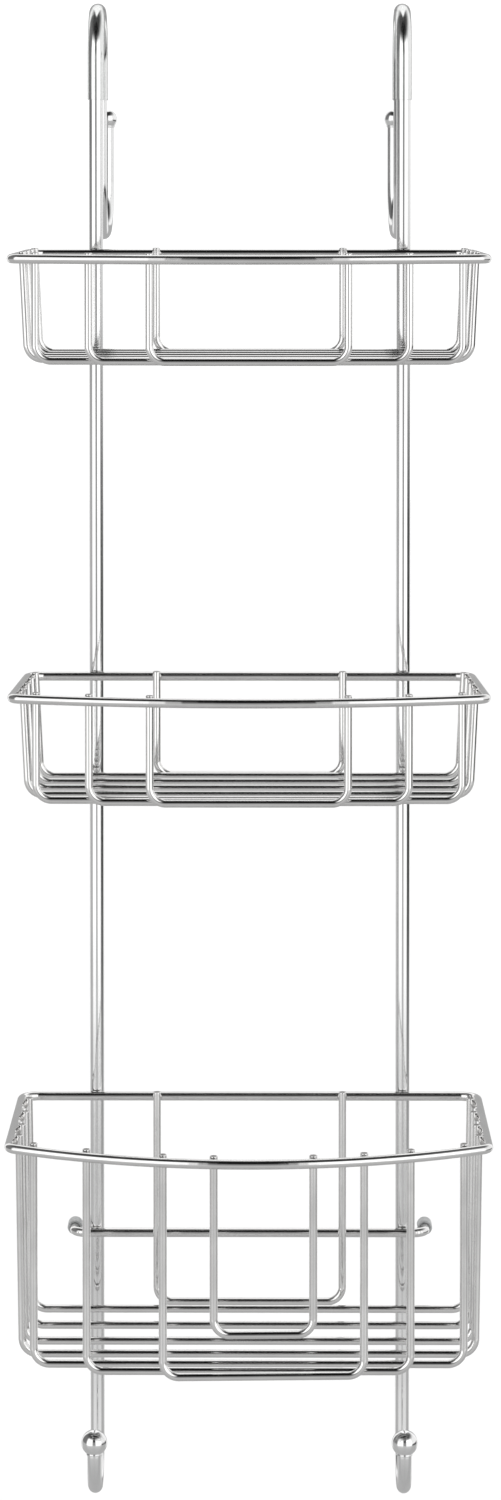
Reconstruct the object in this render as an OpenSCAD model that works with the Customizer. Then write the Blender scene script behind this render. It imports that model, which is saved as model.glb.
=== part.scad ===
// Over-the-door shower caddy: three welded wire baskets on two bent rods.
// Millimetres. X runs to the right as a person faces the baskets, Y runs back
// towards the door, and Z is up. The origin is midway between the two door
// hooks, midway across the door gap, at the height of the door's top edge.

/* [Uprights] */
// Diameter of the two upright rods
rod_d = 7; // [6:0.5:8]
// Distance between the centrelines of the two uprights
rod_span = 152.2; // [140:0.2:160]

/* [Door hooks] */
// Distance between the centrelines of a door hook's front and rear legs
hook_gap = 50; // [44:1:60]
// Outer diameter of the clear sleeve on each door hook
sleeve_d = 8.2; // [8.2:0.2:9.4]
// Height of a sleeve's legs below the door's top edge
sleeve_drop = 40; // [30:1:55]
// Height of the rear hook's bend centre below the door's top edge
rear_bend_drop = 82.6; // [70:0.2:95]
// Distance between the centrelines of a rear hook's two legs
rear_hook_reach = 50; // [36:1:60]
// Angle by which each rear hook turns in towards the other
rear_hook_toe = 2; // [0:0.5:10]
// Height of the rear ball's centre below the door's top edge
rear_ball_drop = 50.3; // [46:0.1:60]
// Diameter of the rear balls
rear_ball_d = 10; // [9.5:0.5:12]

/* [Front hooks] */
// Height of the front hook's bend centre below the door's top edge
front_bend_drop = 705.4; // [690:0.2:720]
// Distance between the centrelines of a front hook's two legs
front_hook_reach = 40; // [30:1:50]
// Diameter of the front balls
front_ball_d = 12.7; // [10:0.1:16]
// How far a rod's end reaches past the underside of its ball
ball_socket = 3.6; // [2:0.2:4]

/* [Baskets] */
// Diameter of the rim wires
rim_wire_d = 4.5; // [4:0.1:5]
// Diameter of the loop wires
loop_wire_d = 3.8; // [3.2:0.1:4.2]
// Height of the top basket's rim below the door's top edge
top_rim_drop = 116; // [100:1:130]
// Distance between the rims of two neighbouring baskets
basket_pitch = 209.6; // [190:0.2:230]
// Half the width of a rim's front, between the centrelines of its sides
rim_half_front = 113.25; // [105:0.25:120]
// Radius of the front bend at each side of a rim
rim_front_bend = 6; // [5:0.5:10]
// Radius of the rear bend at each side of a rim
rim_rear_bend = 8.5; // [6:0.5:10]
// Radius of the two bends in each loop
loop_bend = 7.5; // [6:0.5:9]
// How far the loops' ends stand above a rim's centreline
loop_rise = 3; // [2:0.1:4]
// Depth to which two welded wires melt into each other
weld_sink = 0.2; // [0:0.05:0.3]
// How much thicker a formed wire is in its bends than in its straight runs
bend_swell = 0.02; // [0.01:0.01:0.05]

/* [Top and middle baskets] */
// Half the width of the rim's rear, between the centrelines of its sides
shelf_half_rear = 109.4; // [104:0.1:114]
// Depth of the rim from its rear wire to the middle of its bowed front
shelf_depth = 99; // [90:1:110]
// How far the middle of the rim's front stands forward of its corners
shelf_bow = 17; // [10:1:25]
// Height from the floor wires up to the rim
shelf_height = 48.5; // [40:0.5:60]
// How far each floor wire's legs lean in between the rim and the floor
shelf_lean = 2.5; // [0:0.1:4]
// Distances of the floor wires from the rim's rear wire
shelf_floor_steps = [8, 27.2, 46.3, 65.3];

/* [Bottom basket] */
// Half the width of the rim's rear, between the centrelines of its sides
bin_half_rear = 112.75; // [106:0.25:116]
// Depth of the rim from its rear wire to the middle of its bowed front
bin_depth = 138; // [120:1:150]
// How far the middle of the rim's front stands forward of its corners
bin_bow = 31; // [15:1:40]
// Height from the floor wires up to the rim
bin_height = 102; // [90:1:120]
// How far each floor wire's legs lean in between the rim and the floor
bin_lean = 1.5; // [0:0.1:4]
// Distances of the floor wires from the rim's rear wire
bin_floor_steps = [17, 45, 71.5, 92.5];
// Height from the short loop's bottom up to the rim
short_loop_height = 81.3; // [60:0.1:90]
// Half the width of the short loop
short_loop_half = 23.2; // [16:0.2:30]
// How far the inner and short loops stand to the right of the middle
inner_shift = 7; // [0:0.5:8]

/* [Front and rear loops] */
// Half the width of each outer front loop
outer_loop_half = 101.5; // [96:0.5:103]
// Half the width of each middle front loop
middle_loop_half = 76; // [68:0.5:84]
// Half the width of each inner front loop
inner_loop_half = 47; // [40:0.5:54]
// Half the width of each rear loop
rear_loop_half = 46; // [36:0.5:56]

/* [Bumper] */
// Height of the bumper bar below the door's top edge
bumper_drop = 603.7; // [580:0.1:620]
// Half the distance between the bumper bar's bent ends
bumper_half = 87.5; // [84:0.5:95]
// Radius of the bends at the bumper bar's ends
bumper_bend = 6; // [5:0.5:7]
// Diameter of the bumper caps
cap_d = 7.4; // [6.5:0.1:9]
// Length of the bumper caps
cap_length = 9; // [7:0.5:14]
// Thickness of the closed end of each bumper cap
cap_end = 2; // [1:0.25:3]
// Radius of the rounding round the closed end of each bumper cap
cap_round = 1.8; // [0.5:0.1:2.4]
// Distance from the middle of the door gap forward to the caps' flat ends
cap_face_reach = 12; // [10:0.5:18]

/* [Hidden] */
$fn = 48;
BASKETS = ["top", "middle", "bottom"];
SIDES = ["left", "right"];
SIDE_PARTS = ["upright_rod", "hook_sleeve", "front_hook_ball", "rear_hook_ball", "bumper_cap"];
BASKET_PARTS = [
    "rim",
    "floor_wire_1",
    "floor_wire_2",
    "floor_wire_3",
    "floor_wire_4",
    "rear_loop",
    "front_loop_outer",
    "front_loop_middle",
    "front_loop_inner"
];

// The shortest straight run that is worth drawing
tiny = 0.001;
// How far a cutting tool runs past the end that it opens
cut_over = 1;
// How far a run reaches into a bend that isn't square to it
bend_lap = 0.2;

// Uprights and door hooks
front_y = -hook_gap / 2;
rear_y = hook_gap / 2;
arch_z = -(hook_gap / 2 - sleeve_d / 2);
front_tip_y = front_y - front_hook_reach;
front_ball_z = front_ball_d / 2 - front_bend_drop;
rear_ball_z = -rear_ball_drop;
front_tip_z = ball_socket - front_bend_drop;
rear_tip_z = rear_ball_z - rear_ball_d / 2 + ball_socket;
rod_route = [
    [front_tip_y, front_tip_z],
    [front_tip_y, -front_bend_drop - front_hook_reach / 2],
    [front_y, -front_bend_drop - front_hook_reach / 2],
    [front_y, arch_z + hook_gap / 2],
    [rear_y, arch_z + hook_gap / 2],
    [rear_y, -rear_bend_drop]
];
rod_bends = [front_hook_reach / 2, front_hook_reach / 2, hook_gap / 2, hook_gap / 2];
// A rear hook in its own plane: distance behind the rear leg, and height
rear_hook_route = [
    [0, -rear_bend_drop],
    [0, -rear_bend_drop - rear_hook_reach / 2],
    [rear_hook_reach, -rear_bend_drop - rear_hook_reach / 2],
    [rear_hook_reach, rear_tip_z]
];
rear_hook_bends = [rear_hook_reach / 2, rear_hook_reach / 2];
sleeve_bends = [hook_gap / 2, hook_gap / 2];

// Baskets: every list holds one value for each of the three baskets
rim_y = front_y - rod_d / 2 - rim_wire_d / 2 + weld_sink;
weld_gap = rim_wire_d / 2 + loop_wire_d / 2 - weld_sink;
rim_z = [for (i = [0:2]) -top_rim_drop - i * basket_pitch];
half_rear = [shelf_half_rear, shelf_half_rear, bin_half_rear];
depth = [shelf_depth, shelf_depth, bin_depth];
bow = [shelf_bow, shelf_bow, bin_bow];
height = [shelf_height, shelf_height, bin_height];
lean = [shelf_lean, shelf_lean, bin_lean];
floor_steps = [shelf_floor_steps, shelf_floor_steps, bin_floor_steps];
shift = [0, 0, inner_shift];

// Bumper
bumper_y = rim_y;
bumper_z = -bumper_drop;
bumper_tip_y = -cap_face_reach - cap_end;

// Direction from one point to another, as a vector of length 1
function direction(p, q) = (q - p) / norm(q - p);

// Angle of a plane vector from the X axis
function heading(v) = atan2(v.y, v.x);

// Angle through which a route turns at its middle point
function turn(p, q, r) = acos(direction(p, q) * direction(q, r));

// Length that a bend takes from each of the two runs that it joins
function bend_trim(points, radii, i) =
    i == 0 || i == len(points) - 1
        ? 0
        : radii[i - 1] * tan(turn(points[i - 1], points[i], points[i + 1]) / 2);

// Radius of the bowed front of a basket's rim
function bow_radius(i) = (rim_half_front ^ 2 + bow[i] ^ 2) / (2 * bow[i]);

// Centre of the bowed front, measured from the middle of the rim's rear wire
function bow_centre(i) = [0, bow_radius(i) - depth[i]];

// Y of a leg at x that lies against the inside of the bowed front
function front_leg_y(i, x) =
    rim_y + bow_centre(i).y - sqrt((bow_radius(i) - weld_gap) ^ 2 - x ^ 2);

// Half the distance between the rim's sides, at a distance behind its front
function side_half(i, step) =
    half_rear[i] + (rim_half_front - half_rear[i]) * step / (depth[i] - bow[i]);

// A straight length of round wire between two points of a plane
module straight_run(p, q, d, lap_p = 0, lap_q = 0) {
    start = p - direction(p, q) * lap_p;
    translate([start.x, start.y, 0])
        rotate([0, 0, heading(q - p)])
            rotate([0, 90, 0])
                cylinder(d = d, h = norm(q - p) + lap_p + lap_q);
}

// A bend of round wire about a centre, between two headings
module wire_arc(centre, radius, from, to, d) {
    translate([centre.x, centre.y, 0])
        rotate_extrude(angle = to - from, start = from)
            translate([radius, 0])
                circle(d = d);
}

// The bend that joins the runs from p to q and from q to r
module corner_bend(p, q, r, radius, d) {
    into = direction(p, q);
    out = direction(q, r);
    left = sign(cross(into, out));
    angle = turn(p, q, r);
    start = q - into * radius * tan(angle / 2);
    centre = start + left * radius * [-into.y, into.x];
    from = left > 0 ? heading(into) - 90 : heading(into) + 90 - angle;
    wire_arc(centre, radius, from, from + angle, d);
}

// A round wire that follows a route of points in the XY plane. With a lap, its
// runs reach into slightly thicker bends; without one they meet face to face.
module formed_wire(points, radii, d, lap = 0) {
    last = len(points) - 1;
    bend_d = lap > 0 ? d + bend_swell : d;
    for (i = [0:last - 1]) {
        along = direction(points[i], points[i + 1]);
        p = points[i] + along * bend_trim(points, radii, i);
        q = points[i + 1] - along * bend_trim(points, radii, i + 1);
        if (norm(q - p) > tiny)
            straight_run(p, q, d, i > 0 ? lap : 0, i + 1 < last ? lap : 0);
    }
    for (i = [1:last - 1])
        corner_bend(points[i - 1], points[i], points[i + 1], radii[i - 1], bend_d);
}

// Turns the XY plane into the upright plane that faces sideways, at x
module in_side_plane(x) {
    translate([x, 0, 0])
        rotate([90, 0, 90])
            children();
}

// Turns the XY plane into the upright plane that faces forward, at y
module in_front_plane(y) {
    translate([0, y, 0])
        rotate([90, 0, 0])
            children();
}

// A U of loop wire, with its ends at top_z and its bottom at bottom_z
module u_loop(middle_x, half_top, half_bottom, y, top_z, bottom_z) {
    in_front_plane(y)
        formed_wire(
            [
                [middle_x - half_top, top_z],
                [middle_x - half_bottom, bottom_z],
                [middle_x + half_bottom, bottom_z],
                [middle_x + half_top, top_z]
            ],
            [loop_bend, loop_bend],
            loop_wire_d,
            half_top == half_bottom ? 0 : bend_lap
        );
}

// Puts what stands on the Z axis on a rear leg, turned in with its hook
module on_rear_leg(side) {
    translate([side * rod_span / 2, rear_y, 0])
        rotate([0, 0, side * rear_hook_toe])
            children();
}

// One rod: front hook, upright, door arch and rear hook in one piece
module upright_rod(side) {
    color("silver") {
        in_side_plane(side * rod_span / 2)
            formed_wire(rod_route, rod_bends, rod_d);
        on_rear_leg(side)
            in_side_plane(0)
                formed_wire(rear_hook_route, rear_hook_bends, rod_d);
    }
}

// Clear sleeve over the door arch of one rod
module hook_sleeve(side) {
    color("lightgray", 0.6)
        in_side_plane(side * rod_span / 2)
            difference() {
                sleeve_form(-sleeve_drop, sleeve_d);
                sleeve_form(-sleeve_drop - cut_over, rod_d);
            }
}

// The sleeve's arch, with legs down to end_z
module sleeve_form(end_z, d) {
    top_z = arch_z + hook_gap / 2;
    formed_wire(
        [[front_y, end_z], [front_y, top_z], [rear_y, top_z], [rear_y, end_z]],
        sleeve_bends,
        d
    );
}

// Ball with a blind socket for the rod's end in its underside
module hook_ball(x, y, z, d) {
    color("silver")
        translate([x, y, z])
            difference() {
                sphere(d = d);
                translate([0, 0, -d / 2 - cut_over])
                    cylinder(d = rod_d, h = ball_socket + cut_over);
            }
}

// Bar welded across the fronts of the uprights, with its ends bent to the door
module bumper_bar() {
    color("silver")
        translate([0, 0, bumper_z])
            formed_wire(
                [
                    [-bumper_half, bumper_tip_y],
                    [-bumper_half, bumper_y],
                    [bumper_half, bumper_y],
                    [bumper_half, bumper_tip_y]
                ],
                [bumper_bend, bumper_bend],
                rim_wire_d
            );
}

// Soft cap pushed onto one end of the bumper bar
module bumper_cap(side) {
    color("gainsboro")
        translate([side * bumper_half, -cap_face_reach, bumper_z])
            rotate([90, 0, 0])
                rotate_extrude()
                    difference() {
                        union() {
                            translate([0, cap_round])
                                square([cap_d / 2, cap_length - cap_round]);
                            square([cap_d / 2 - cap_round, cap_round]);
                            translate([cap_d / 2 - cap_round, cap_round])
                                circle(r = cap_round);
                        }
                        translate([-cap_d, -cap_d])
                            square([cap_d, cap_length + 2 * cap_d]);
                        translate([0, cap_end])
                            square([rim_wire_d / 2, cap_length]);
                    }
}

// Closed rim: straight rear, two sides and a bowed front
module rim(i) {
    rear_corner = [half_rear[i], 0];
    side_run = direction(rear_corner, [rim_half_front, bow[i] - depth[i]]);
    inward = [side_run.y, -side_run.x];
    rear_at = -rim_rear_bend * (1 + inward.y) / side_run.y;
    rear_tangent = rear_corner + side_run * rear_at;
    rear_centre = rear_tangent + inward * rim_rear_bend;
    reach = bow_radius(i) - rim_front_bend;
    offset_start = rear_corner + inward * rim_front_bend - bow_centre(i);
    along = offset_start * side_run;
    front_at = sqrt(along ^ 2 - offset_start * offset_start + reach ^ 2) - along;
    front_tangent = rear_corner + side_run * front_at;
    front_centre = front_tangent + inward * rim_front_bend;
    bow_end = heading(front_centre - bow_centre(i));
    lap_angle = bend_lap / bow_radius(i) * 180 / PI;
    bend_d = rim_wire_d + bend_swell;
    color("silver")
        translate([0, rim_y, rim_z[i]]) {
            straight_run([-rear_centre.x, 0], [rear_centre.x, 0], rim_wire_d, bend_lap, bend_lap);
            wire_arc(
                bow_centre(i),
                bow_radius(i),
                -180 - bow_end - lap_angle,
                bow_end + lap_angle,
                rim_wire_d
            );
            for (mirrored = [0, 1])
                mirror([mirrored, 0, 0]) {
                    wire_arc(rear_centre, rim_rear_bend, heading(-inward), 90, bend_d);
                    straight_run(rear_tangent, front_tangent, rim_wire_d, bend_lap, bend_lap);
                    wire_arc(front_centre, rim_front_bend, bow_end, heading(-inward), bend_d);
                }
        }
}

// Floor wire: a wide U from one side of the rim, under the basket, to the other
module floor_wire(i, step) {
    half_top = side_half(i, step) - weld_gap;
    color("silver")
        u_loop(
            0,
            half_top,
            half_top - lean[i],
            rim_y - step,
            rim_z[i] + loop_rise,
            rim_z[i] - height[i]
        );
}

// Rear loop: a U that hangs inside the rim's rear wire
module rear_loop(i) {
    color("silver")
        u_loop(
            0,
            rear_loop_half,
            rear_loop_half,
            rim_y - weld_gap,
            rim_z[i] + loop_rise,
            rim_z[i] - height[i]
        );
}

// Front loop: a U with both its legs against the inside of the bowed front
module front_loop(i, middle_x, half, drop) {
    left_x = middle_x - half;
    right_x = middle_x + half;
    left_leg = [left_x, front_leg_y(i, left_x)];
    right_leg = [right_x, front_leg_y(i, right_x)];
    width = norm(right_leg - left_leg);
    color("silver")
        translate([left_leg.x, left_leg.y, 0])
            rotate([0, 0, heading(right_leg - left_leg)])
                u_loop(width / 2, width / 2, width / 2, 0, rim_z[i] + loop_rise, rim_z[i] - drop);
}

for (i = [0, 1]) {
    name = SIDES[i];
    side = 2 * i - 1;
    x = side * rod_span / 2;
    upright_rod(side);
    hook_sleeve(side);
    hook_ball(x, front_tip_y, front_ball_z, front_ball_d);
    on_rear_leg(side) hook_ball(0, rear_hook_reach, rear_ball_z, rear_ball_d);
    bumper_cap(side);
}
bumper_bar();
front_loop(2, inner_shift, short_loop_half, short_loop_height);  // bottom_front_loop_short
for (i = [0:2]) {
    name = BASKETS[i];
    rim(i);
    for (k = [0:3])
        floor_wire(i, floor_steps[i][k]);
    rear_loop(i);
    front_loop(i, 0, outer_loop_half, height[i]);
    front_loop(i, 0, middle_loop_half, height[i]);
    front_loop(i, shift[i], inner_loop_half, height[i]);
}
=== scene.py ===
"""Chromed wire shower caddy that hangs over a door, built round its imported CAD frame.

Every wire is swept again as a fine tube, along the route that its CAD node takes, and
gets its welds. Lengths named in millimetres are turned into metres by MM.
"""

import math

import bmesh
import bpy
from mathutils import Matrix, Vector, noise


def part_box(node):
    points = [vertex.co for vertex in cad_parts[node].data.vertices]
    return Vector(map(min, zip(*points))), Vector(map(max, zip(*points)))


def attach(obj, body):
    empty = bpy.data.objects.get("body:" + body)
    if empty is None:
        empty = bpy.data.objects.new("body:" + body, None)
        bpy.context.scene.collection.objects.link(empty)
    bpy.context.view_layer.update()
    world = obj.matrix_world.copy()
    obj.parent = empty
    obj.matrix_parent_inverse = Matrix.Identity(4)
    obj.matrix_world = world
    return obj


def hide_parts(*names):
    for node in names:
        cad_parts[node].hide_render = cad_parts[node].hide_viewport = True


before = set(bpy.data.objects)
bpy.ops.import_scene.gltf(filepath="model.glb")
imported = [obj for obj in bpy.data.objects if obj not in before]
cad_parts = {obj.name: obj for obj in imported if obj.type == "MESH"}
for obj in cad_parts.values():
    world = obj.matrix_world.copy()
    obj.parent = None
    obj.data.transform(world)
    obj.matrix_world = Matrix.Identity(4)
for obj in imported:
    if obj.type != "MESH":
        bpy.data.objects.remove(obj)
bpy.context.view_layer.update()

MM = 0.001
BODY = "root"
SIDES = ("left", "right")
BASKETS = ("top", "middle", "bottom")
FLOOR_WIRES = 4
FRONT_LOOPS = {
    "top": ("outer", "middle", "inner"),
    "middle": ("outer", "middle", "inner"),
    "bottom": ("outer", "middle", "inner", "short"),
}

# Wire gauges and bends, in millimetres
ROD_R = 3.5
RIM_R = 2.25
LOOP_R = 1.9
LOOP_BEND = 7.5
RIM_FRONT_BEND = 6.0
RIM_REAR_BEND = 8.5
RIM_HALF_FRONT = 113.25
BUMPER_BEND = 6.0
REAR_BEND_DROP = 82.6
LOOP_RISE = 3.0
BALL_SOCKET = 3.6
SLEEVE_R = 4.1
SLEEVE_BORE_R = 3.46

# Balls, in millimetres: the radius of the collar's round, how far outside the rod the ball
# ends, and how far inside it the collar ends
BALL_COLLAR = 0.5
BALL_FOOT_GAP = 0.35
COLLAR_SINK = 0.3

# Bumper caps, in millimetres, with the waist's place as a share of the length
CAP_END = 2.0
CAP_EDGE = 1.8
CAP_LIP = 0.5
CAP_CLEARANCE = 0.02
CAP_WAIST_IN = 0.12
CAP_WAIST_AT = 0.55
CAP_NECK_IN = 0.25
CAP_MOUTH_FLARE = 0.2
CAP_MOUTH_START = 0.1
CAP_MOUTH_DEPTH = 0.5

# Weld nuggets: half their size in millimetres along the rim or bar, through it and up, and
# how uneven they are as a share of that
LOOP_BEAD = (2.3, 0.9, 2.0)
ROD_BEAD = (3.1, 1.0, 2.6)
BEAD_SWELL = 0.22

# What differs between the shallow baskets and the deep one, in millimetres
BASKET_SIZES = {
    "top": {"half_rear": 109.4, "bow": 17.0, "lean": 2.5},
    "middle": {"half_rear": 109.4, "bow": 17.0, "lean": 2.5},
    "bottom": {"half_rear": 112.75, "bow": 31.0, "lean": 1.5},
}

# Fineness of the swept tubes and turned pieces, with their lengths in millimetres
TUBE_SIDES = 28
BEND_STEP = math.radians(5)
BOW_STEP = math.radians(1.2)
END_ROUND = 0.45
SLEEVE_END_ROUND = 0.25
END_RINGS = 4
RUN_STEP = 30.0
HOLD = 0.6
LATHE_SIDES = 56
BALL_STEPS = 30
ROUND_STEPS = 8

# The photographer's place and the floor, in metres, and the lens
CAMERA_AT = (0.0094, -2.098, -0.053)
CAMERA_PITCH = math.radians(1.97)
CAMERA_YAW = math.radians(0.25)
CAMERA_LENS = 100.5
CAMERA_SENSOR = 36.0
CAMERA_SHIFT_Y = -0.32
CAMERA_CLIP = (0.05, 100.0)
FLOOR_Z = -2.03
FLOOR_SIZE = 40.0

# Brightness of the studio against elevation in degrees: in the gap between the two
# softboxes where the camera stands, in the softboxes, at each side, in the narrow softboxes
# behind the caddy and at the back between them
STUDIO = {
    "camera_gap": [
        (-90, 0.48), (-47, 0.52), (-20, 0.6), (-11, 0.55), (-7, 0.36), (0, 0.28), (10, 0.36),
        (16, 0.2), (24, 0.05), (40, 0.01), (65, 0.0), (78, 0.03), (90, 0.07),
    ],
    "softbox": [
        (-90, 0.48), (-46, 0.54), (-21, 0.62), (-17.5, 1.0), (-15.8, 0.62), (-14, 0.62),
        (-12.5, 1.0), (-11, 1.45), (34, 1.45), (46, 0.25), (56, 0.03), (80, 0.02), (90, 0.07),
    ],
    "left": [
        (-90, 0.48), (-16, 0.52), (-6, 0.5), (-3, 0.4), (0, 0.2), (30, 0.2), (60, 0.08), (90, 0.07),
    ],
    "right": [
        (-90, 0.48), (-16, 0.5), (-13, 0.36), (-11, 0.1), (-9, 0.04), (-6, 0.05), (-4.5, 0.15),
        (-2, 0.8), (0, 1.0), (30, 1.0), (50, 0.2), (65, 0.06), (90, 0.07),
    ],
    "rear_softbox": [
        (-90, 0.48), (-30, 0.5), (-22, 1.1), (30, 1.1), (50, 0.3), (66, 0.06), (90, 0.07),
    ],
    "back": [
        (-90, 0.48), (-40, 0.48), (0, 0.44), (18, 0.46), (28, 1.2), (72, 1.2), (80, 0.1), (90, 0.07),
    ],
}

# Azimuths in degrees from straight in front of the caddy, over which each band of the
# studio gives way to the next; left gives way to right where the sign changes
GAP_TO_SOFTBOX = (9.0, 19.0)
SOFTBOX_TO_SIDE = (58.0, 78.0)
LEFT_TO_RIGHT = (-5.0, 5.0)
SIDE_TO_REAR_SOFTBOX = (130.0, 138.0)
REAR_SOFTBOX_TO_BACK = (150.0, 158.0)

# Brightness of the plain white that the camera and matt surfaces see
PLAIN_LEVEL = 1.15

# Each chrome's tint, its darkest cloud as a share of that, its roughness, and the height of
# its die lines in millimetres
CHROMES = {
    "rod": ((0.84, 0.84, 0.84), 0.93, 0.09, 0.008),
    "wire": ((0.84, 0.835, 0.83), 0.92, 0.10, 0.008),
    "cut": ((0.26, 0.25, 0.24), 0.75, 0.35, 0.05),
    "ball": ((0.86, 0.86, 0.86), 0.95, 0.10, 0.004),
    "weld": ((0.72, 0.71, 0.70), 0.8, 0.28, 0.05),
}

# Scales of surface detail: clouds, pits and grain per metre, marks round a wire and along it
CHROME_CLOUDS = 55.0
CHROME_PITS = 2600.0
CHROME_STREAKS = (60.0, 90.0)
SLEEVE_MARKS = (18.0, 60.0)
CAP_CLOUDS = 420.0
CAP_GRAIN = 2400.0

# The part of a noise texture's range that its values mostly fill
NOISE_RANGE = (0.3, 0.7)


# ---------------------------------------------------------------- routes

def metres(*values):
    """Millimetres to metres, as a vector."""
    return Vector(values) * MM


def arc(centre, radius, start, end, step=BEND_STEP):
    """Points of a plane arc about a centre, from one heading to another."""
    count = max(2, math.ceil(abs(end - start) / step))
    return [
        centre + radius * Vector((math.cos(a), math.sin(a)))
        for a in (start + (end - start) * k / count for k in range(count + 1))
    ]


def heading(v):
    """Angle of a plane vector from the X axis."""
    return math.atan2(v.y, v.x)


def fillet(p, q, r, radius):
    """Points of the bend that joins the runs from p to q and from q to r."""
    into = (q - p).normalized()
    out = (r - q).normalized()
    side = 1 if into.cross(out) > 0 else -1
    turn = into.angle(out)
    start = q - into * radius * math.tan(turn / 2)
    centre = start + side * radius * Vector((-into.y, into.x))
    first = heading(start - centre)
    return arc(centre, radius, first, first + side * turn)


def route_through(corners, radii):
    """A plane route through corner points, with each inner corner bent round."""
    points = [corners[0]]
    for i, radius in enumerate(radii, start=1):
        points += fillet(corners[i - 1], corners[i], corners[i + 1], radius)
    points.append(corners[-1])
    return drop_doubles(points)


def drop_doubles(points):
    """The points without any that repeat the one before."""
    kept = [points[0]]
    for p in points[1:]:
        if (p - kept[-1]).length > 1e-7:
            kept.append(p)
    return kept


def rim_route(depth, bow, half_front, half_rear):
    """The closed outline of a rim's centreline: x across, y back from the rear wire."""
    bow_radius = (half_front**2 + bow**2) / (2 * bow)
    bow_centre = Vector((0, bow_radius - depth))
    corner = Vector((half_rear, 0))
    side = (Vector((half_front, bow - depth)) - corner).normalized()
    inward = Vector((side.y, -side.x))
    rear_bend, front_bend = RIM_REAR_BEND * MM, RIM_FRONT_BEND * MM
    rear_at = -rear_bend * (1 + inward.y) / side.y
    rear_centre = corner + side * rear_at + inward * rear_bend
    offset = corner + inward * front_bend - bow_centre
    along = offset.dot(side)
    reach = bow_radius - front_bend
    front_at = math.sqrt(along**2 - offset.dot(offset) + reach**2) - along
    front_centre = corner + side * front_at + inward * front_bend
    bow_end = heading(front_centre - bow_centre)
    outward = heading(-inward)
    right = arc(bow_centre, bow_radius, -math.pi / 2, bow_end, BOW_STEP)
    right += arc(front_centre, front_bend, bow_end, outward)
    right += arc(rear_centre, rear_bend, outward, math.pi / 2)
    left = [Vector((-p.x, p.y)) for p in reversed(right)]
    return drop_doubles(right + left)[:-1]


# ---------------------------------------------------------------- meshes

def new_piece(name, mesh, materials, nodes=()):
    """Links a mesh as a piece that rides on the caddy and stands for CAD nodes."""
    piece = bpy.data.objects.new(name, mesh)
    bpy.context.scene.collection.objects.link(piece)
    for material in materials:
        mesh.materials.append(material)
    mesh.polygons.foreach_set("use_smooth", [True] * len(mesh.polygons))
    mesh.update()
    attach(piece, BODY)
    if nodes:
        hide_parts(*nodes)


def tangents(points, closed):
    """Unit direction of a route at each of its points."""
    last = len(points) - 1
    found = []
    for i in range(len(points)):
        before = points[i - 1] if closed or i > 0 else points[i]
        after = points[(i + 1) % len(points)] if closed or i < last else points[i]
        into = (points[i] - before).normalized()
        out = (after - points[i]).normalized()
        found.append((into + out).normalized())
    return found


def split_runs(points, closed):
    """The route with its straight runs cut up, and a ring held close to each end of a run."""
    follow = points[1:] + points[:1] if closed else points[1:]
    split = []
    for a, b in zip(points, follow):
        split.append(a)
        length = (b - a).length
        if length > 4 * HOLD * MM:
            count = max(1, round(length / (RUN_STEP * MM)))
            hold = HOLD * MM / length
            shares = [hold, *[k / count for k in range(1, count)], 1 - hold]
            split += [a.lerp(b, share) for share in shares]
    return split if closed else split + [points[-1]]


def ring_stations(points, radius, closed, end_round):
    """Centre, direction, radius and distance along for each ring of a tube."""
    stations = []
    gone = 0.0
    for i, (point, along) in enumerate(zip(points, tangents(points, closed))):
        gone += (point - points[i - 1]).length if i else 0.0
        stations.append((point, along, radius, gone))
    if closed or not end_round:
        return stations
    first = rounded_end(stations[0], 1, end_round)
    last = rounded_end(stations[-1], -1, end_round)
    return first + stations[1:-1] + last[::-1]


def rounded_end(station, inward, end_round):
    """Rings that round off the edge of a cut end, from the flat face inwards."""
    point, along, radius, gone = station
    rings = []
    for k in range(END_RINGS + 1):
        angle = math.pi / 2 * k / END_RINGS
        inset = end_round * (1 - math.cos(angle))
        narrow = radius - end_round * (1 - math.sin(angle))
        rings.append((point + along * inset * inward, along, narrow, gone + inset * inward))
    return rings


def add_tube(
    bm, uv, points, normal, radius, closed=False, end_round=0.0, capped=True, flip=False, end_slot=0
):
    """Sweeps a round tube along a route that starts square to a normal; returns its rings."""
    points = split_runs(points, closed)
    stations = ring_stations(points, radius, closed, end_round)
    rings = []
    for centre, along, ring_radius, gone in stations:
        normal = (normal - along * normal.dot(along)).normalized()
        side = along.cross(normal).normalized()
        ring = []
        for k in range(TUBE_SIDES):
            angle = 2 * math.pi * k / TUBE_SIDES
            spoke = normal * math.cos(angle) + side * math.sin(angle)
            ring.append(bm.verts.new(centre + spoke * ring_radius))
        rings.append((ring, gone))
    pairs = list(zip(rings, rings[1:]))
    if closed:
        length = rings[-1][1] + (points[0] - points[-1]).length
        pairs.append((rings[-1], (rings[0][0], length)))
    for (ring_a, gone_a), (ring_b, gone_b) in pairs:
        for k in range(TUBE_SIDES):
            m = (k + 1) % TUBE_SIDES
            corners = [ring_a[k], ring_b[k], ring_b[m], ring_a[m]]
            u0, u1 = k / TUBE_SIDES, (k + 1) / TUBE_SIDES
            places = [(u0, gone_a), (u0, gone_b), (u1, gone_b), (u1, gone_a)]
            if flip:
                corners.reverse()
                places.reverse()
            face = bm.faces.new(corners)
            for loop, place in zip(face.loops, places):
                loop[uv].uv = place
    if capped and not closed:
        for ring, _ in (rings[0], rings[-1]):
            bm.faces.new(ring).material_index = end_slot
    return rings


def finished_mesh(bm, name):
    """Turns finished bmesh work into a mesh."""
    mesh = bpy.data.meshes.new(name)
    bm.to_mesh(mesh)
    bm.free()
    return mesh


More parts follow.
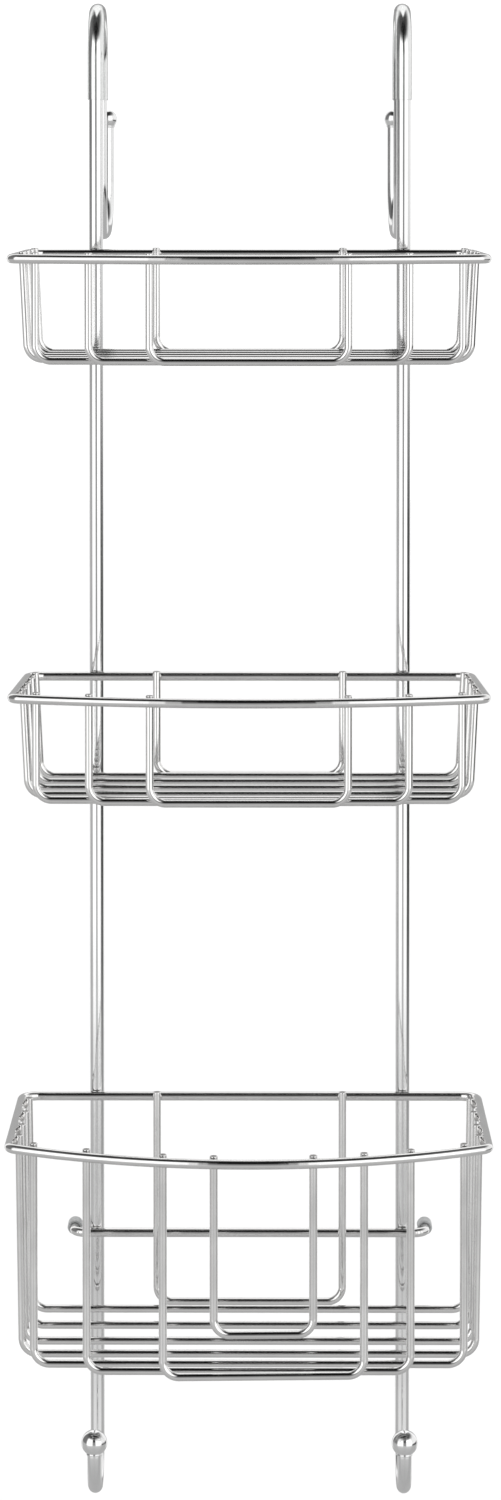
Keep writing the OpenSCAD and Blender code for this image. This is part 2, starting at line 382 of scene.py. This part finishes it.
def tube_mesh(name, points, normal, radius, closed=False, end_slot=0):
    """A mesh with one round wire in it."""
    bm = bmesh.new()
    uv = bm.loops.layers.uv.new("wire")
    add_tube(bm, uv, points, normal, radius, closed, END_ROUND * MM, end_slot=end_slot)
    bmesh.ops.recalc_face_normals(bm, faces=bm.faces)
    return finished_mesh(bm, name)


def lathe_mesh(name, profile, place):
    """A solid of revolution about local Z; profile runs from pole to pole."""
    bm = bmesh.new()
    uv = bm.loops.layers.uv.new("wire")
    rings = []
    for radius, height in profile:
        if radius < 1e-9:
            rings.append([bm.verts.new((0, 0, height))])
            continue
        rings.append([
            bm.verts.new((
                radius * math.cos(2 * math.pi * k / LATHE_SIDES),
                radius * math.sin(2 * math.pi * k / LATHE_SIDES),
                height,
            ))
            for k in range(LATHE_SIDES)
        ])
    for i, (low, high) in enumerate(zip(rings, rings[1:])):
        for k in range(LATHE_SIDES):
            m = (k + 1) % LATHE_SIDES
            if len(low) == 1:
                corners = [low[0], high[m], high[k]]
            elif len(high) == 1:
                corners = [low[k], low[m], high[0]]
            else:
                corners = [low[k], low[m], high[m], high[k]]
            face = bm.faces.new(corners)
            for loop in face.loops:
                loop[uv].uv = (k / LATHE_SIDES, i * MM)
    bmesh.ops.recalc_face_normals(bm, faces=bm.faces)
    mesh = finished_mesh(bm, name)
    mesh.transform(place)
    return mesh


# ---------------------------------------------------------------- materials

def node_tree(material):
    """The material's nodes, links and its shader, ready to be wired."""
    material.use_nodes = True
    tree = material.node_tree
    return tree.nodes, tree.links, tree.nodes["Principled BSDF"]


def noise_node(nodes, links, vector, scale, detail, roughness=0.5):
    """A noise texture fed by a vector."""
    texture = nodes.new("ShaderNodeTexNoise")
    texture.inputs["Scale"].default_value = scale
    texture.inputs["Detail"].default_value = detail
    texture.inputs["Roughness"].default_value = roughness
    links.new(vector, texture.inputs["Vector"])
    return texture.outputs["Fac"]


def map_range(nodes, links, value, low, high):
    """Stretches the usual range of a noise texture over low to high."""
    node = nodes.new("ShaderNodeMapRange")
    node.inputs["From Min"].default_value = NOISE_RANGE[0]
    node.inputs["From Max"].default_value = NOISE_RANGE[1]
    node.inputs["To Min"].default_value = low
    node.inputs["To Max"].default_value = high
    links.new(value, node.inputs["Value"])
    return node.outputs["Result"]


def multiply_add(nodes, links, value, factor, base):
    """One output times a number, plus another output."""
    node = nodes.new("ShaderNodeMath")
    node.operation = "MULTIPLY_ADD"
    node.inputs[1].default_value = factor
    links.new(value, node.inputs[0])
    links.new(base, node.inputs[2])
    return node.outputs["Value"]


def wire_vector(nodes, links, scale):
    """Place round a wire and along it, stretched by a scale for each."""
    around = nodes.new("ShaderNodeUVMap")
    around.uv_map = "wire"
    stretch = nodes.new("ShaderNodeMapping")
    stretch.inputs["Scale"].default_value = (*scale, 1.0)
    links.new(around.outputs["UV"], stretch.inputs["Vector"])
    return stretch.outputs["Vector"]


def add_clouds(nodes, links, shader, clouds, dark, pale):
    """Base colour that drifts between a darker and a paler colour."""
    mix = nodes.new("ShaderNodeMix")
    mix.data_type = "RGBA"
    mix.inputs["A"].default_value = (*dark, 1.0)
    mix.inputs["B"].default_value = (*pale, 1.0)
    links.new(map_range(nodes, links, clouds, 0.0, 1.0), mix.inputs["Factor"])
    links.new(mix.outputs["Result"], shader.inputs["Base Color"])


def add_bump(nodes, links, shader, relief, strength, height):
    """Surface relief of a given height in millimetres."""
    bump = nodes.new("ShaderNodeBump")
    bump.inputs["Strength"].default_value = strength
    bump.inputs["Distance"].default_value = height * MM
    links.new(relief, bump.inputs["Height"])
    links.new(bump.outputs["Normal"], shader.inputs["Normal"])


def chrome(kind):
    """Chrome plate over drawn wire: die lines along the wire, faint clouding, fine pits."""
    tint, shade, rough, streak_height = CHROMES[kind]
    material = bpy.data.materials.new(f"{kind}_chrome")
    nodes, links, shader = node_tree(material)
    shader.inputs["Metallic"].default_value = 1.0
    along = wire_vector(nodes, links, CHROME_STREAKS)
    streaks = noise_node(nodes, links, along, 1.0, 4.0, 0.65)
    where = nodes.new("ShaderNodeTexCoord").outputs["Object"]
    clouds = noise_node(nodes, links, where, CHROME_CLOUDS, 3.0)
    pits = noise_node(nodes, links, where, CHROME_PITS, 2.0)
    add_clouds(nodes, links, shader, clouds, [c * shade for c in tint], tint)
    cloudy = map_range(nodes, links, clouds, rough * 0.6, rough)
    spread = multiply_add(nodes, links, streaks, rough * 0.3, cloudy)
    links.new(spread, shader.inputs["Roughness"])
    relief = multiply_add(nodes, links, pits, 0.15, streaks)
    add_bump(nodes, links, shader, relief, 0.25, streak_height)
    return material


def clear_sleeve():
    """Clear soft PVC tube with a faint green cast and shallow draw marks."""
    material = bpy.data.materials.new("clear_pvc")
    nodes, links, shader = node_tree(material)
    shader.inputs["Base Color"].default_value = (0.975, 0.985, 0.975, 1.0)
    shader.inputs["Transmission Weight"].default_value = 1.0
    shader.inputs["IOR"].default_value = 1.52
    marks = noise_node(nodes, links, wire_vector(nodes, links, SLEEVE_MARKS), 1.0, 3.0)
    links.new(map_range(nodes, links, marks, 0.02, 0.06), shader.inputs["Roughness"])
    add_bump(nodes, links, shader, marks, 0.2, 0.01)
    return material


def grey_cap():
    """Cloudy grey soft PVC with a fine dip-moulded grain."""
    material = bpy.data.materials.new("grey_pvc")
    nodes, links, shader = node_tree(material)
    where = nodes.new("ShaderNodeTexCoord").outputs["Object"]
    clouds = noise_node(nodes, links, where, CAP_CLOUDS, 3.0)
    grain = noise_node(nodes, links, where, CAP_GRAIN, 3.0)
    add_clouds(nodes, links, shader, clouds, (0.36, 0.37, 0.37), (0.50, 0.51, 0.51))
    shader.inputs["IOR"].default_value = 1.5
    links.new(map_range(nodes, links, grain, 0.28, 0.5), shader.inputs["Roughness"])
    add_bump(nodes, links, shader, grain, 0.5, 0.05)
    return material


# ---------------------------------------------------------------- wires

def in_side_plane(points, x):
    """Plane points (y, z) placed in the upright plane that faces sideways, at x."""
    return [Vector((x, p.x, p.y)) for p in points]


def rim_centre_z(basket):
    """Height of a rim's centreline."""
    low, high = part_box(f"{basket}_rim")
    return (low.z + high.z) / 2


def rod_x(side):
    """Where an upright stands across the caddy: the middle of its sleeve."""
    low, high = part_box(f"{side}_hook_sleeve")
    return (low.x + high.x) / 2


def leg_places(side):
    """How far back the front and the rear leg of a door arch stand."""
    low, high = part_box(f"{side}_hook_sleeve")
    return low.y + SLEEVE_R * MM, high.y - SLEEVE_R * MM


def arch_route(side):
    """Route of a rod from its front ball up and over the door to its rear leg."""
    low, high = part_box(f"{side}_upright_rod")
    ball_low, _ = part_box(f"{side}_front_hook_ball")
    radius = ROD_R * MM
    front_y, rear_y = leg_places(side)
    tip_y = low.y + radius
    hook_bottom = low.z + radius
    arch_top = high.z - radius
    front_bend = (front_y - tip_y) / 2
    arch_bend = (rear_y - front_y) / 2
    corners = [
        Vector((tip_y, ball_low.z + BALL_SOCKET * MM)),
        Vector((tip_y, hook_bottom)),
        Vector((front_y, hook_bottom)),
        Vector((front_y, arch_top)),
        Vector((rear_y, arch_top)),
        Vector((rear_y, -REAR_BEND_DROP * MM)),
    ]
    flat = route_through(corners, [front_bend, front_bend, arch_bend, arch_bend])
    return in_side_plane(flat, rod_x(side))


def rear_hook_route(side):
    """Route of a rod's rear hook, which is turned in towards the other rod's."""
    ball_low, ball_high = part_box(f"{side}_rear_hook_ball")
    _, rear_y = leg_places(side)
    leg = Vector((rod_x(side), rear_y))
    tip = ((ball_low + ball_high) / 2).xy
    reach = (tip - leg).length
    back = (tip - leg).normalized()
    bottom = -REAR_BEND_DROP * MM - reach / 2
    corners = [
        Vector((0, -REAR_BEND_DROP * MM)),
        Vector((0, bottom)),
        Vector((reach, bottom)),
        Vector((reach, ball_low.z + BALL_SOCKET * MM)),
    ]
    flat = route_through(corners, [reach / 2, reach / 2])
    return [Vector((*(leg + back * p.x), p.y)) for p in flat]


def build_rod(side, material):
    """One rod: front hook, upright, door arch and the rear hook that is turned in."""
    node = f"{side}_upright_rod"
    points = drop_doubles(arch_route(side) + rear_hook_route(side))
    mesh = tube_mesh(node, points, Vector((1, 0, 0)), ROD_R * MM)
    new_piece(f"{side}_rod", mesh, [material], [node])


def build_sleeve(side, material):
    """Clear tube over the door arch, open at both ends."""
    node = f"{side}_hook_sleeve"
    low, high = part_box(node)
    outer = SLEEVE_R * MM
    top = high.z - outer
    front_y, rear_y = leg_places(side)
    bend = (rear_y - front_y) / 2
    corners = [
        Vector((front_y, low.z)),
        Vector((front_y, top)),
        Vector((rear_y, top)),
        Vector((rear_y, low.z)),
    ]
    points = in_side_plane(route_through(corners, [bend, bend]), rod_x(side))
    normal = Vector((1, 0, 0))
    bm = bmesh.new()
    uv = bm.loops.layers.uv.new("wire")
    end_round = SLEEVE_END_ROUND * MM
    outside = add_tube(bm, uv, points, normal, outer, end_round=end_round, capped=False)
    inside = add_tube(bm, uv, points, normal, SLEEVE_BORE_R * MM, capped=False, flip=True)
    for end in (0, -1):
        ring_a, ring_b = outside[end][0], inside[end][0]
        for k in range(TUBE_SIDES):
            m = (k + 1) % TUBE_SIDES
            bm.faces.new([ring_a[k], ring_a[m], ring_b[m], ring_b[k]])
    bmesh.ops.recalc_face_normals(bm, faces=bm.faces)
    new_piece(f"{side}_sleeve", finished_mesh(bm, node), [material], [node])


def build_ball(node, name, material):
    """Polished ball with the small weld collar where the rod enters it."""
    low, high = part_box(node)
    centre = (low + high) / 2
    radius = (high.x - low.x) / 2
    stem = ROD_R * MM
    root = stem - COLLAR_SINK * MM
    collar = BALL_COLLAR * MM
    reach = math.asin((stem + BALL_FOOT_GAP * MM) / radius)
    profile = [(0.0, radius)]
    for k in range(1, BALL_STEPS + 1):
        angle = (math.pi - reach) * k / BALL_STEPS
        profile.append((radius * math.sin(angle), radius * math.cos(angle)))
    foot = profile[-1][1]
    for k in range(1, ROUND_STEPS + 1):
        angle = math.pi * k / ROUND_STEPS
        profile.append((stem + collar * math.sin(angle), foot - collar * (1 - math.cos(angle))))
    profile.append((root, foot - 2 * collar))
    profile.append((root, foot + 2 * collar))
    profile.append((0.0, foot + 2 * collar))
    mesh = lathe_mesh(node, profile, Matrix.Translation(centre))
    new_piece(name, mesh, [material], [node])


def build_bumper(material):
    """Bumper bar with its two ends bent back towards the door."""
    low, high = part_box("bumper_bar")
    radius = RIM_R * MM
    z = (low.z + high.z) / 2
    half = high.x - radius
    corners = [
        Vector((-half, high.y)),
        Vector((-half, low.y + radius)),
        Vector((half, low.y + radius)),
        Vector((half, high.y)),
    ]
    bend = BUMPER_BEND * MM
    points = [Vector((p.x, p.y, z)) for p in route_through(corners, [bend, bend])]
    mesh = tube_mesh("bumper_bar", points, Vector((0, 0, 1)), radius)
    new_piece("bumper", mesh, [material], ["bumper_bar"])


def build_bumper_cap(side, material):
    """Soft cap on the bar's end, with a rolled lip and a domed end."""
    node = f"{side}_bumper_cap"
    low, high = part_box(node)
    centre = (low + high) / 2
    radius = (high.x - low.x) / 2
    length = high.y - low.y
    edge = CAP_EDGE * MM
    lip = CAP_LIP * MM
    bore = RIM_R * MM + CAP_CLEARANCE * MM
    profile = [(0.0, 0.0)]
    for k in range(ROUND_STEPS + 1):
        angle = math.pi / 2 * k / ROUND_STEPS
        profile.append((radius - edge + edge * math.sin(angle), edge * (1 - math.cos(angle))))
    profile.append((radius - CAP_WAIST_IN * MM, length * CAP_WAIST_AT))
    profile.append((radius - CAP_NECK_IN * MM, length - 3 * lip))
    for k in range(ROUND_STEPS + 1):
        angle = math.pi * k / ROUND_STEPS
        profile.append((radius - lip + lip * math.sin(angle), length - lip - lip * math.cos(angle)))
    profile.append((bore + CAP_MOUTH_FLARE * MM, length - CAP_MOUTH_START * MM))
    profile.append((bore, length - CAP_MOUTH_DEPTH * MM))
    profile.append((bore, CAP_END * MM))
    profile.append((0.0, CAP_END * MM))
    place = Matrix.Translation((centre.x, high.y, centre.z)) @ Matrix.Rotation(math.pi / 2, 4, "X")
    mesh = lathe_mesh(node, profile, place)
    new_piece(f"{side}_cap", mesh, [material], [node])


def build_rim(basket, material):
    """Closed rim of one basket; returns how far back its rear wire stands."""
    node = f"{basket}_rim"
    low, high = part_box(node)
    half_height = (high.z - low.z) / 2
    rear_y = high.y - half_height
    depth = rear_y - low.y - half_height
    size = BASKET_SIZES[basket]
    outline = rim_route(depth, size["bow"] * MM, RIM_HALF_FRONT * MM, size["half_rear"] * MM)
    z = rim_centre_z(basket)
    points = [Vector((p.x, rear_y + p.y, z)) for p in outline]
    mesh = tube_mesh(node, points, Vector((0, 0, 1)), RIM_R * MM, closed=True)
    new_piece(f"{basket}_rim_wire", mesh, [material], [node])
    return rear_y


def u_points(left, right, top_z, bottom_z, lean):
    """Route of a U whose two legs stand at plan points left and right."""
    across = (right - left).normalized()
    width = (right - left).length
    corners = [
        Vector((0, top_z)),
        Vector((lean, bottom_z)),
        Vector((width - lean, bottom_z)),
        Vector((width, top_z)),
    ]
    flat = route_through(corners, [LOOP_BEND * MM, LOOP_BEND * MM])
    points = [Vector((*(left + across * p.x), p.y)) for p in flat]
    normal = Vector((across.y, -across.x, 0))
    return points, normal


def build_loop(basket, part, materials, lean=0.0):
    """One U of loop wire, its cut ends a little duller; returns its leg tops for the welds."""
    node = f"{basket}_{part}"
    low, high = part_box(node)
    radius = LOOP_R * MM
    left = Vector((low.x + radius, low.y + radius))
    right = Vector((high.x - radius, high.y - radius))
    top_z = rim_centre_z(basket) + LOOP_RISE * MM
    points, normal = u_points(left, right, top_z, low.z + radius, lean)
    mesh = tube_mesh(node, points, normal, radius, end_slot=1)
    new_piece(f"{basket}_{part}_wire", mesh, materials, [node])
    return left, right


# ---------------------------------------------------------------- welds

def add_bead(bm, centre, size, seed):
    """One weld nugget: a low, slightly uneven blob."""
    made = bmesh.ops.create_uvsphere(bm, u_segments=18, v_segments=12, radius=1.0)
    for vertex in made["verts"]:
        unit = vertex.co.copy()
        swell = 1 + BEAD_SWELL * noise.noise(unit * 1.6 + Vector((seed, 0, 0)))
        vertex.co = centre + Vector((unit.x * size.x, unit.y * size.y, unit.z * size.z)) * swell


def build_welds(name, beads, material):
    """All the weld nuggets of one sub-assembly, as one piece."""
    bm = bmesh.new()
    bm.loops.layers.uv.new("wire")
    for seed, (centre, size) in enumerate(beads):
        add_bead(bm, centre, size, seed * 3.7)
    new_piece(name, finished_mesh(bm, name), [material])


def basket_beads(basket, legs, rear_y):
    """Where a basket's loops and uprights meet its rim, with each bead's size."""
    z = rim_centre_z(basket)
    radius = LOOP_R * MM
    along, through, up = LOOP_BEAD
    beads = []
    for kind, left, right in legs:
        for leg, sign in ((left, -1), (right, 1)):
            if kind == "floor":
                centre = Vector((leg.x + sign * radius, leg.y, z))
                size = metres(through, along, up)
            else:
                back = radius if kind == "rear" else -radius
                centre = Vector((leg.x, leg.y + back, z))
                size = metres(along, through, up)
            beads.append((centre, size))
    for side in SIDES:
        centre = Vector((rod_x(side), rear_y + RIM_R * MM, z))
        beads.append((centre, metres(*ROD_BEAD)))
    return beads


def bumper_beads():
    """Where the bumper bar meets the uprights, with each bead's size."""
    low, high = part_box("bumper_bar")
    z = (low.z + high.z) / 2
    rod_y = low.y + 2 * RIM_R * MM
    return [(Vector((rod_x(side), rod_y, z)), metres(*ROD_BEAD)) for side in SIDES]


# ---------------------------------------------------------------- stage

def build_camera():
    """The photographer's camera: a little below the door's top edge, looking slightly down."""
    data = bpy.data.cameras.new("camera")
    data.lens = CAMERA_LENS
    data.sensor_width = CAMERA_SENSOR
    data.shift_y = CAMERA_SHIFT_Y
    data.clip_start, data.clip_end = CAMERA_CLIP
    camera = bpy.data.objects.new("camera", data)
    camera.location = CAMERA_AT
    camera.rotation_euler = (math.pi / 2 - CAMERA_PITCH, 0, CAMERA_YAW)
    bpy.context.scene.collection.objects.link(camera)
    bpy.context.scene.camera = camera


def build_floor():
    """Plain pale floor, a door's height below the hooks."""
    mesh = bpy.data.meshes.new("floor")
    half = FLOOR_SIZE / 2
    corners = [(-half, -half, 0), (half, -half, 0), (half, half, 0), (-half, half, 0)]
    mesh.from_pydata(corners, [], [(0, 1, 2, 3)])
    floor = bpy.data.objects.new("floor", mesh)
    floor.location.z = FLOOR_Z
    bpy.context.scene.collection.objects.link(floor)
    material = bpy.data.materials.new("pale_floor")
    _, _, shader = node_tree(material)
    shader.inputs["Base Color"].default_value = (0.9, 0.9, 0.9, 1.0)
    shader.inputs["Roughness"].default_value = 0.9
    shader.inputs["Specular IOR Level"].default_value = 0.0
    mesh.materials.append(material)
    floor.visible_glossy = False
    floor.visible_transmission = False


class StudioNodes:
    """Small helper that writes arithmetic into a shader node tree."""

    def __init__(self, tree):
        self.nodes, self.links = tree.nodes, tree.links

    def math(self, operation, a, b=None):
        """The result of one sum on numbers or outputs."""
        node = self.nodes.new("ShaderNodeMath")
        node.operation = operation
        for socket, value in zip(node.inputs, (a, b)):
            if isinstance(value, (int, float)):
                socket.default_value = value
            elif value is not None:
                self.links.new(value, socket)
        return node.outputs["Value"]

    def step(self, value, low, high):
        """Goes smoothly from 0 to 1 as a value goes from low to high."""
        node = self.nodes.new("ShaderNodeMapRange")
        node.interpolation_type = "SMOOTHSTEP"
        node.inputs["From Min"].default_value = low
        node.inputs["From Max"].default_value = high
        self.links.new(value, node.inputs["Value"])
        return node.outputs["Result"]

    def ramp(self, value, stops):
        """Brightness along a list of elevations, for a value of 0 to 1 from foot to top."""
        node = self.nodes.new("ShaderNodeValToRGB")
        elements = node.color_ramp.elements
        while len(elements) < len(stops):
            elements.new(0.5)
        for element, (angle, level) in zip(elements, stops):
            element.position = (angle + 90) / 180
            element.color = (level, level, level, 1.0)
        self.links.new(value, node.inputs["Fac"])
        return node.outputs["Color"]

    def blend(self, factor, a, b):
        """Goes from a to b as the factor goes from 0 to 1."""
        return self.math("ADD", a, self.math("MULTIPLY", factor, self.math("SUBTRACT", b, a)))


def build_studio():
    """White surround, whose softboxes show only in gloss and through the sleeves."""
    world = bpy.data.worlds.new("studio")
    bpy.context.scene.world = world
    world.use_nodes = True
    tree = world.node_tree
    tree.nodes.clear()
    make = StudioNodes(tree)
    where = tree.nodes.new("ShaderNodeTexCoord")
    split = tree.nodes.new("ShaderNodeSeparateXYZ")
    tree.links.new(where.outputs["Generated"], split.inputs["Vector"])
    x, y, z = (split.outputs[axis] for axis in "XYZ")
    azimuth = make.math("DEGREES", make.math("ARCTAN2", x, make.math("MULTIPLY", y, -1.0)))
    away = make.math("ABSOLUTE", azimuth)
    elevation = make.math("DEGREES", make.math("ARCSINE", z))
    height = make.math("DIVIDE", make.math("ADD", elevation, 90.0), 180.0)

    bands = {name: make.ramp(height, stops) for name, stops in STUDIO.items()}
    level = make.blend(make.step(away, *GAP_TO_SOFTBOX), bands["camera_gap"], bands["softbox"])
    sides = make.blend(make.step(azimuth, *LEFT_TO_RIGHT), bands["left"], bands["right"])
    level = make.blend(make.step(away, *SOFTBOX_TO_SIDE), level, sides)
    level = make.blend(make.step(away, *SIDE_TO_REAR_SOFTBOX), level, bands["rear_softbox"])
    level = make.blend(make.step(away, *REAR_SOFTBOX_TO_BACK), level, bands["back"])

    path = tree.nodes.new("ShaderNodeLightPath")
    plain = make.math("MAXIMUM", path.outputs["Is Camera Ray"], path.outputs["Is Diffuse Ray"])
    level = make.blend(plain, level, PLAIN_LEVEL)
    background = tree.nodes.new("ShaderNodeBackground")
    background.inputs["Color"].default_value = (1.0, 1.0, 1.0, 1.0)
    tree.links.new(level, background.inputs["Strength"])
    output = tree.nodes.new("ShaderNodeOutputWorld")
    tree.links.new(background.outputs["Background"], output.inputs["Surface"])
    bpy.context.scene.view_settings.view_transform = "Standard"


# ---------------------------------------------------------------- caddy

def build_side(side, rod_chrome, ball_chrome, pvc, cap_pvc):
    """One upright with its sleeve, balls and bumper cap."""
    build_rod(side, rod_chrome)
    build_sleeve(side, pvc)
    build_ball(f"{side}_front_hook_ball", f"{side}_front_ball", ball_chrome)
    build_ball(f"{side}_rear_hook_ball", f"{side}_rear_ball", ball_chrome)
    build_bumper_cap(side, cap_pvc)


def build_basket(basket, wire_chrome, cut_chrome, weld_chrome):
    """One basket: its rim, the loops inside it and their welds."""
    loop_chromes = [wire_chrome, cut_chrome]
    lean = BASKET_SIZES[basket]["lean"] * MM
    rear_y = build_rim(basket, wire_chrome)
    legs = []
    for k in range(1, FLOOR_WIRES + 1):
        legs.append(("floor", *build_loop(basket, f"floor_wire_{k}", loop_chromes, lean)))
    legs.append(("rear", *build_loop(basket, "rear_loop", loop_chromes)))
    for part in FRONT_LOOPS[basket]:
        legs.append(("front", *build_loop(basket, f"front_loop_{part}", loop_chromes)))
    build_welds(f"{basket}_welds", basket_beads(basket, legs, rear_y), weld_chrome)


def build_caddy():
    """Every piece of the caddy, each over its CAD node."""
    rod_chrome = chrome("rod")
    wire_chrome = chrome("wire")
    cut_chrome = chrome("cut")
    ball_chrome = chrome("ball")
    weld_chrome = chrome("weld")
    pvc = clear_sleeve()
    cap_pvc = grey_cap()
    for side in SIDES:
        build_side(side, rod_chrome, ball_chrome, pvc, cap_pvc)
    build_bumper(wire_chrome)
    build_welds("bumper_welds", bumper_beads(), weld_chrome)
    for basket in BASKETS:
        build_basket(basket, wire_chrome, cut_chrome, weld_chrome)


build_camera()
build_floor()
build_studio()
build_caddy()
